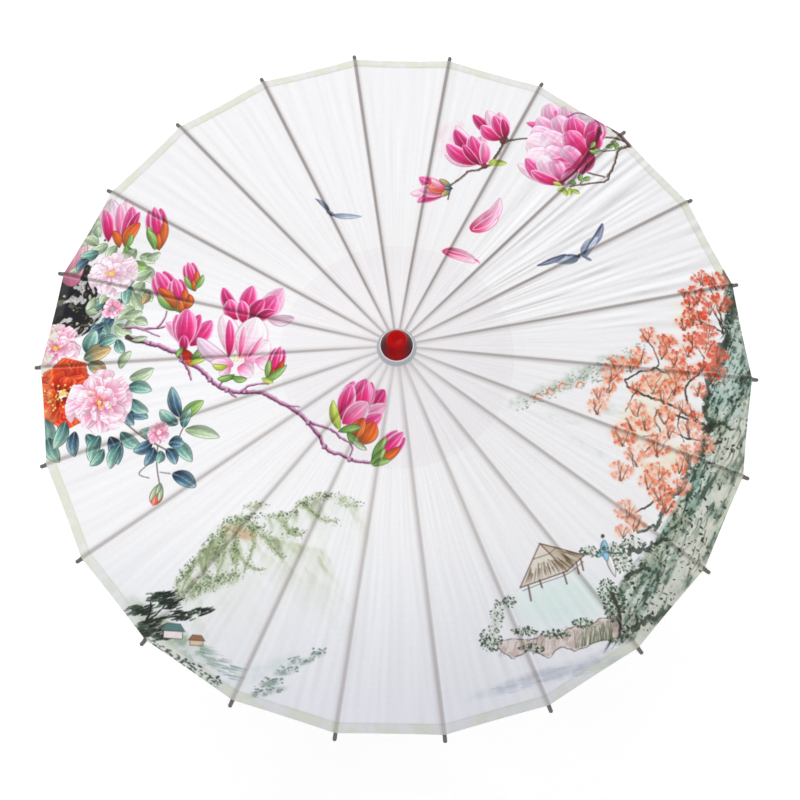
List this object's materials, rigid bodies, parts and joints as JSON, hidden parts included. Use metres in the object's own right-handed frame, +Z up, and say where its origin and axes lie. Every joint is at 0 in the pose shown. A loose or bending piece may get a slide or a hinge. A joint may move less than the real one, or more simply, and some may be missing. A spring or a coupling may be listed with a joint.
{
  "type": "oil paper umbrella",
  "caption": "Opened folding parasol: flat many-sided cone of printed white cloth on bamboo ribs and struts, red lacquered finial, straight wooden shaft and handle.",
  "frame": {"origin": "centre of the foot of the handle, on the shaft's axis", "axes": "+Z up along the shaft to the finial; +X along the first rib"},
  "size_m": [0.8306, 0.8222, 0.5696],
  "materials": {
    "shaft_wood": "satin turned wood",
    "handle_lacquer": "glossy dark red lacquer",
    "notch_wood": "satin turned wood",
    "steel_wire": "drawn wire",
    "collar_white": "satin white",
    "finial_lacquer": "glossy red lacquer",
    "catch_bamboo": "scraped bamboo",
    "peg_bamboo": "scraped bamboo",
    "printed_cloth": "white satin cloth with a printed ink and wash garden scene",
    "lining_cloth": "plain thin white cloth",
    "edge_ribbon": "pale green woven ribbon",
    "rib_bamboo": "split bamboo, satin",
    "strut_bamboo": "split bamboo, satin"
  },
  "bodies": {
    "root": {"shaft": "shaft_wood", "handle": "handle_lacquer", "handle_cap": "handle_lacquer", "head": "notch_wood", "head_ring": "steel_wire", "collar": "collar_white", "finial": "finial_lacquer", "spring_catch": "catch_bamboo", "catch_pin": "steel_wire", "stop_peg": "peg_bamboo", "canopy": "printed_cloth", "crown_lining": "lining_cloth", "edge_ribbon": "edge_ribbon"},
    "rib_01": {"rib_01": "rib_bamboo"},
    "rib_02": {"rib_02": "rib_bamboo"},
    "rib_03": {"rib_03": "rib_bamboo"},
    "rib_04": {"rib_04": "rib_bamboo"},
    "rib_05": {"rib_05": "rib_bamboo"},
    "rib_06": {"rib_06": "rib_bamboo"},
    "rib_07": {"rib_07": "rib_bamboo"},
    "rib_08": {"rib_08": "rib_bamboo"},
    "rib_09": {"rib_09": "rib_bamboo"},
    "rib_10": {"rib_10": "rib_bamboo"},
    "rib_11": {"rib_11": "rib_bamboo"},
    "rib_12": {"rib_12": "rib_bamboo"},
    "rib_13": {"rib_13": "rib_bamboo"},
    "rib_14": {"rib_14": "rib_bamboo"},
    "rib_15": {"rib_15": "rib_bamboo"},
    "rib_16": {"rib_16": "rib_bamboo"},
    "rib_17": {"rib_17": "rib_bamboo"},
    "rib_18": {"rib_18": "rib_bamboo"},
    "rib_19": {"rib_19": "rib_bamboo"},
    "rib_20": {"rib_20": "rib_bamboo"},
    "rib_21": {"rib_21": "rib_bamboo"},
    "rib_22": {"rib_22": "rib_bamboo"},
    "strut_01": {"strut_01": "strut_bamboo"},
    "strut_02": {"strut_02": "strut_bamboo"},
    "strut_03": {"strut_03": "strut_bamboo"},
    "strut_04": {"strut_04": "strut_bamboo"},
    "strut_05": {"strut_05": "strut_bamboo"},
    "strut_06": {"strut_06": "strut_bamboo"},
    "strut_07": {"strut_07": "strut_bamboo"},
    "strut_08": {"strut_08": "strut_bamboo"},
    "strut_09": {"strut_09": "strut_bamboo"},
    "strut_10": {"strut_10": "strut_bamboo"},
    "strut_11": {"strut_11": "strut_bamboo"},
    "strut_12": {"strut_12": "strut_bamboo"},
    "strut_13": {"strut_13": "strut_bamboo"},
    "strut_14": {"strut_14": "strut_bamboo"},
    "strut_15": {"strut_15": "strut_bamboo"},
    "strut_16": {"strut_16": "strut_bamboo"},
    "strut_17": {"strut_17": "strut_bamboo"},
    "strut_18": {"strut_18": "strut_bamboo"},
    "strut_19": {"strut_19": "strut_bamboo"},
    "strut_20": {"strut_20": "strut_bamboo"},
    "strut_21": {"strut_21": "strut_bamboo"},
    "strut_22": {"strut_22": "strut_bamboo"},
    "runner": {"runner": "notch_wood", "runner_ring": "steel_wire"}
  },
  "joints": [
    {"name": "fold", "type": "hinge", "parent": "root", "child": "rib_01", "pos_m": [0.015, 0, 0.54], "axis": [0, 1, 0], "range_deg": [0, 75], "deforming": ["canopy", "crown_lining", "edge_ribbon", "spring_catch"]},
    {"name": "rib_02_hinge", "type": "hinge", "parent": "root", "child": "rib_02", "pos_m": [0.01439, 0.00423, 0.54], "axis": [-0.2817, 0.9595, 0], "range_deg": [0, 75]},
    {"name": "rib_03_hinge", "type": "hinge", "parent": "root", "child": "rib_03", "pos_m": [0.01262, 0.00811, 0.54], "axis": [-0.5406, 0.8413, 0], "range_deg": [0, 75]},
    {"name": "rib_04_hinge", "type": "hinge", "parent": "root", "child": "rib_04", "pos_m": [0.00982, 0.01134, 0.54], "axis": [-0.7557, 0.6549, 0], "range_deg": [0, 75]},
    {"name": "rib_05_hinge", "type": "hinge", "parent": "root", "child": "rib_05", "pos_m": [0.00623, 0.01364, 0.54], "axis": [-0.9096, 0.4154, 0], "range_deg": [0, 75]},
    {"name": "rib_06_hinge", "type": "hinge", "parent": "root", "child": "rib_06", "pos_m": [0.00213, 0.01485, 0.54], "axis": [-0.9898, 0.1423, 0], "range_deg": [0, 75]},
    {"name": "rib_07_hinge", "type": "hinge", "parent": "root", "child": "rib_07", "pos_m": [-0.00213, 0.01485, 0.54], "axis": [-0.9898, -0.1423, 0], "range_deg": [0, 75]},
    {"name": "rib_08_hinge", "type": "hinge", "parent": "root", "child": "rib_08", "pos_m": [-0.00623, 0.01364, 0.54], "axis": [-0.9096, -0.4154, 0], "range_deg": [0, 75]},
    {"name": "rib_09_hinge", "type": "hinge", "parent": "root", "child": "rib_09", "pos_m": [-0.00982, 0.01134, 0.54], "axis": [-0.7557, -0.6549, 0], "range_deg": [0, 75]},
    {"name": "rib_10_hinge", "type": "hinge", "parent": "root", "child": "rib_10", "pos_m": [-0.01262, 0.00811, 0.54], "axis": [-0.5406, -0.8413, 0], "range_deg": [0, 75]},
    {"name": "rib_11_hinge", "type": "hinge", "parent": "root", "child": "rib_11", "pos_m": [-0.01439, 0.00423, 0.54], "axis": [-0.2817, -0.9595, 0], "range_deg": [0, 75]},
    {"name": "rib_12_hinge", "type": "hinge", "parent": "root", "child": "rib_12", "pos_m": [-0.015, 0, 0.54], "axis": [0, -1, 0], "range_deg": [0, 75]},
    {"name": "rib_13_hinge", "type": "hinge", "parent": "root", "child": "rib_13", "pos_m": [-0.01439, -0.00423, 0.54], "axis": [0.2817, -0.9595, 0], "range_deg": [0, 75]},
    {"name": "rib_14_hinge", "type": "hinge", "parent": "root", "child": "rib_14", "pos_m": [-0.01262, -0.00811, 0.54], "axis": [0.5406, -0.8413, 0], "range_deg": [0, 75]},
    {"name": "rib_15_hinge", "type": "hinge", "parent": "root", "child": "rib_15", "pos_m": [-0.00982, -0.01134, 0.54], "axis": [0.7557, -0.6549, 0], "range_deg": [0, 75]},
    {"name": "rib_16_hinge", "type": "hinge", "parent": "root", "child": "rib_16", "pos_m": [-0.00623, -0.01364, 0.54], "axis": [0.9096, -0.4154, 0], "range_deg": [0, 75]},
    {"name": "rib_17_hinge", "type": "hinge", "parent": "root", "child": "rib_17", "pos_m": [-0.00213, -0.01485, 0.54], "axis": [0.9898, -0.1423, 0], "range_deg": [0, 75]},
    {"name": "rib_18_hinge", "type": "hinge", "parent": "root", "child": "rib_18", "pos_m": [0.00213, -0.01485, 0.54], "axis": [0.9898, 0.1423, 0], "range_deg": [0, 75]},
    {"name": "rib_19_hinge", "type": "hinge", "parent": "root", "child": "rib_19", "pos_m": [0.00623, -0.01364, 0.54], "axis": [0.9096, 0.4154, 0], "range_deg": [0, 75]},
    {"name": "rib_20_hinge", "type": "hinge", "parent": "root", "child": "rib_20", "pos_m": [0.00982, -0.01134, 0.54], "axis": [0.7557, 0.6549, 0], "range_deg": [0, 75]},
    {"name": "rib_21_hinge", "type": "hinge", "parent": "root", "child": "rib_21", "pos_m": [0.01262, -0.00811, 0.54], "axis": [0.5406, 0.8413, 0], "range_deg": [0, 75]},
    {"name": "rib_22_hinge", "type": "hinge", "parent": "root", "child": "rib_22", "pos_m": [0.01439, -0.00423, 0.54], "axis": [0.2817, 0.9595, 0], "range_deg": [0, 75]},
    {"name": "strut_01_hinge", "type": "hinge", "parent": "rib_01", "child": "strut_01", "pos_m": [0.205, 0, 0.49613], "axis": [0, 1, 0], "range_deg": [-150, 0]},
    {"name": "strut_02_hinge", "type": "hinge", "parent": "rib_02", "child": "strut_02", "pos_m": [0.1967, 0.05776, 0.49613], "axis": [-0.2817, 0.9595, 0], "range_deg": [-150, 0]},
    {"name": "strut_03_hinge", "type": "hinge", "parent": "rib_03", "child": "strut_03", "pos_m": [0.17246, 0.11083, 0.49613], "axis": [-0.5406, 0.8413, 0], "range_deg": [-150, 0]},
    {"name": "strut_04_hinge", "type": "hinge", "parent": "rib_04", "child": "strut_04", "pos_m": [0.13425, 0.15493, 0.49613], "axis": [-0.7557, 0.6549, 0], "range_deg": [-150, 0]},
    {"name": "strut_05_hinge", "type": "hinge", "parent": "rib_05", "child": "strut_05", "pos_m": [0.08516, 0.18648, 0.49613], "axis": [-0.9096, 0.4154, 0], "range_deg": [-150, 0]},
    {"name": "strut_06_hinge", "type": "hinge", "parent": "rib_06", "child": "strut_06", "pos_m": [0.02917, 0.20292, 0.49613], "axis": [-0.9898, 0.1423, 0], "range_deg": [-150, 0]},
    {"name": "strut_07_hinge", "type": "hinge", "parent": "rib_07", "child": "strut_07", "pos_m": [-0.02917, 0.20292, 0.49613], "axis": [-0.9898, -0.1423, 0], "range_deg": [-150, 0]},
    {"name": "strut_08_hinge", "type": "hinge", "parent": "rib_08", "child": "strut_08", "pos_m": [-0.08516, 0.18648, 0.49613], "axis": [-0.9096, -0.4154, 0], "range_deg": [-150, 0]},
    {"name": "strut_09_hinge", "type": "hinge", "parent": "rib_09", "child": "strut_09", "pos_m": [-0.13425, 0.15493, 0.49613], "axis": [-0.7557, -0.6549, 0], "range_deg": [-150, 0]},
    {"name": "strut_10_hinge", "type": "hinge", "parent": "rib_10", "child": "strut_10", "pos_m": [-0.17246, 0.11083, 0.49613], "axis": [-0.5406, -0.8413, 0], "range_deg": [-150, 0]},
    {"name": "strut_11_hinge", "type": "hinge", "parent": "rib_11", "child": "strut_11", "pos_m": [-0.1967, 0.05776, 0.49613], "axis": [-0.2817, -0.9595, 0], "range_deg": [-150, 0]},
    {"name": "strut_12_hinge", "type": "hinge", "parent": "rib_12", "child": "strut_12", "pos_m": [-0.205, 0, 0.49613], "axis": [0, -1, 0], "range_deg": [-150, 0]},
    {"name": "strut_13_hinge", "type": "hinge", "parent": "rib_13", "child": "strut_13", "pos_m": [-0.1967, -0.05776, 0.49613], "axis": [0.2817, -0.9595, 0], "range_deg": [-150, 0]},
    {"name": "strut_14_hinge", "type": "hinge", "parent": "rib_14", "child": "strut_14", "pos_m": [-0.17246, -0.11083, 0.49613], "axis": [0.5406, -0.8413, 0], "range_deg": [-150, 0]},
    {"name": "strut_15_hinge", "type": "hinge", "parent": "rib_15", "child": "strut_15", "pos_m": [-0.13425, -0.15493, 0.49613], "axis": [0.7557, -0.6549, 0], "range_deg": [-150, 0]},
    {"name": "strut_16_hinge", "type": "hinge", "parent": "rib_16", "child": "strut_16", "pos_m": [-0.08516, -0.18648, 0.49613], "axis": [0.9096, -0.4154, 0], "range_deg": [-150, 0]},
    {"name": "strut_17_hinge", "type": "hinge", "parent": "rib_17", "child": "strut_17", "pos_m": [-0.02917, -0.20292, 0.49613], "axis": [0.9898, -0.1423, 0], "range_deg": [-150, 0]},
    {"name": "strut_18_hinge", "type": "hinge", "parent": "rib_18", "child": "strut_18", "pos_m": [0.02917, -0.20292, 0.49613], "axis": [0.9898, 0.1423, 0], "range_deg": [-150, 0]},
    {"name": "strut_19_hinge", "type": "hinge", "parent": "rib_19", "child": "strut_19", "pos_m": [0.08516, -0.18648, 0.49613], "axis": [0.9096, 0.4154, 0], "range_deg": [-150, 0]},
    {"name": "strut_20_hinge", "type": "hinge", "parent": "rib_20", "child": "strut_20", "pos_m": [0.13425, -0.15493, 0.49613], "axis": [0.7557, 0.6549, 0], "range_deg": [-150, 0]},
    {"name": "strut_21_hinge", "type": "hinge", "parent": "rib_21", "child": "strut_21", "pos_m": [0.17246, -0.11083, 0.49613], "axis": [0.5406, 0.8413, 0], "range_deg": [-150, 0]},
    {"name": "strut_22_hinge", "type": "hinge", "parent": "rib_22", "child": "strut_22", "pos_m": [0.1967, -0.05776, 0.49613], "axis": [0.2817, 0.9595, 0], "range_deg": [-150, 0]},
    {"name": "runner_hinge", "type": "hinge", "parent": "strut_01", "child": "runner", "pos_m": [0.015, 0, 0.45227], "axis": [0, 1, 0], "range_deg": [0, 75]}
  ],
  "couplings": [
    {"joint": "rib_02_hinge", "follows": "fold", "ratio": 1},
    {"joint": "rib_03_hinge", "follows": "fold", "ratio": 1},
    {"joint": "rib_04_hinge", "follows": "fold", "ratio": 1},
    {"joint": "rib_05_hinge", "follows": "fold", "ratio": 1},
    {"joint": "rib_06_hinge", "follows": "fold", "ratio": 1},
    {"joint": "rib_07_hinge", "follows": "fold", "ratio": 1},
    {"joint": "rib_08_hinge", "follows": "fold", "ratio": 1},
    {"joint": "rib_09_hinge", "follows": "fold", "ratio": 1},
    {"joint": "rib_10_hinge", "follows": "fold", "ratio": 1},
    {"joint": "rib_11_hinge", "follows": "fold", "ratio": 1},
    {"joint": "rib_12_hinge", "follows": "fold", "ratio": 1},
    {"joint": "rib_13_hinge", "follows": "fold", "ratio": 1},
    {"joint": "rib_14_hinge", "follows": "fold", "ratio": 1},
    {"joint": "rib_15_hinge", "follows": "fold", "ratio": 1},
    {"joint": "rib_16_hinge", "follows": "fold", "ratio": 1},
    {"joint": "rib_17_hinge", "follows": "fold", "ratio": 1},
    {"joint": "rib_18_hinge", "follows": "fold", "ratio": 1},
    {"joint": "rib_19_hinge", "follows": "fold", "ratio": 1},
    {"joint": "rib_20_hinge", "follows": "fold", "ratio": 1},
    {"joint": "rib_21_hinge", "follows": "fold", "ratio": 1},
    {"joint": "rib_22_hinge", "follows": "fold", "ratio": 1},
    {"joint": "strut_01_hinge", "follows": "fold", "ratio": -2},
    {"joint": "strut_02_hinge", "follows": "fold", "ratio": -2},
    {"joint": "strut_03_hinge", "follows": "fold", "ratio": -2},
    {"joint": "strut_04_hinge", "follows": "fold", "ratio": -2},
    {"joint": "strut_05_hinge", "follows": "fold", "ratio": -2},
    {"joint": "strut_06_hinge", "follows": "fold", "ratio": -2},
    {"joint": "strut_07_hinge", "follows": "fold", "ratio": -2},
    {"joint": "strut_08_hinge", "follows": "fold", "ratio": -2},
    {"joint": "strut_09_hinge", "follows": "fold", "ratio": -2},
    {"joint": "strut_10_hinge", "follows": "fold", "ratio": -2},
    {"joint": "strut_11_hinge", "follows": "fold", "ratio": -2},
    {"joint": "strut_12_hinge", "follows": "fold", "ratio": -2},
    {"joint": "strut_13_hinge", "follows": "fold", "ratio": -2},
    {"joint": "strut_14_hinge", "follows": "fold", "ratio": -2},
    {"joint": "strut_15_hinge", "follows": "fold", "ratio": -2},
    {"joint": "strut_16_hinge", "follows": "fold", "ratio": -2},
    {"joint": "strut_17_hinge", "follows": "fold", "ratio": -2},
    {"joint": "strut_18_hinge", "follows": "fold", "ratio": -2},
    {"joint": "strut_19_hinge", "follows": "fold", "ratio": -2},
    {"joint": "strut_20_hinge", "follows": "fold", "ratio": -2},
    {"joint": "strut_21_hinge", "follows": "fold", "ratio": -2},
    {"joint": "strut_22_hinge", "follows": "fold", "ratio": -2},
    {"joint": "runner_hinge", "follows": "fold", "ratio": 1}
  ]
}
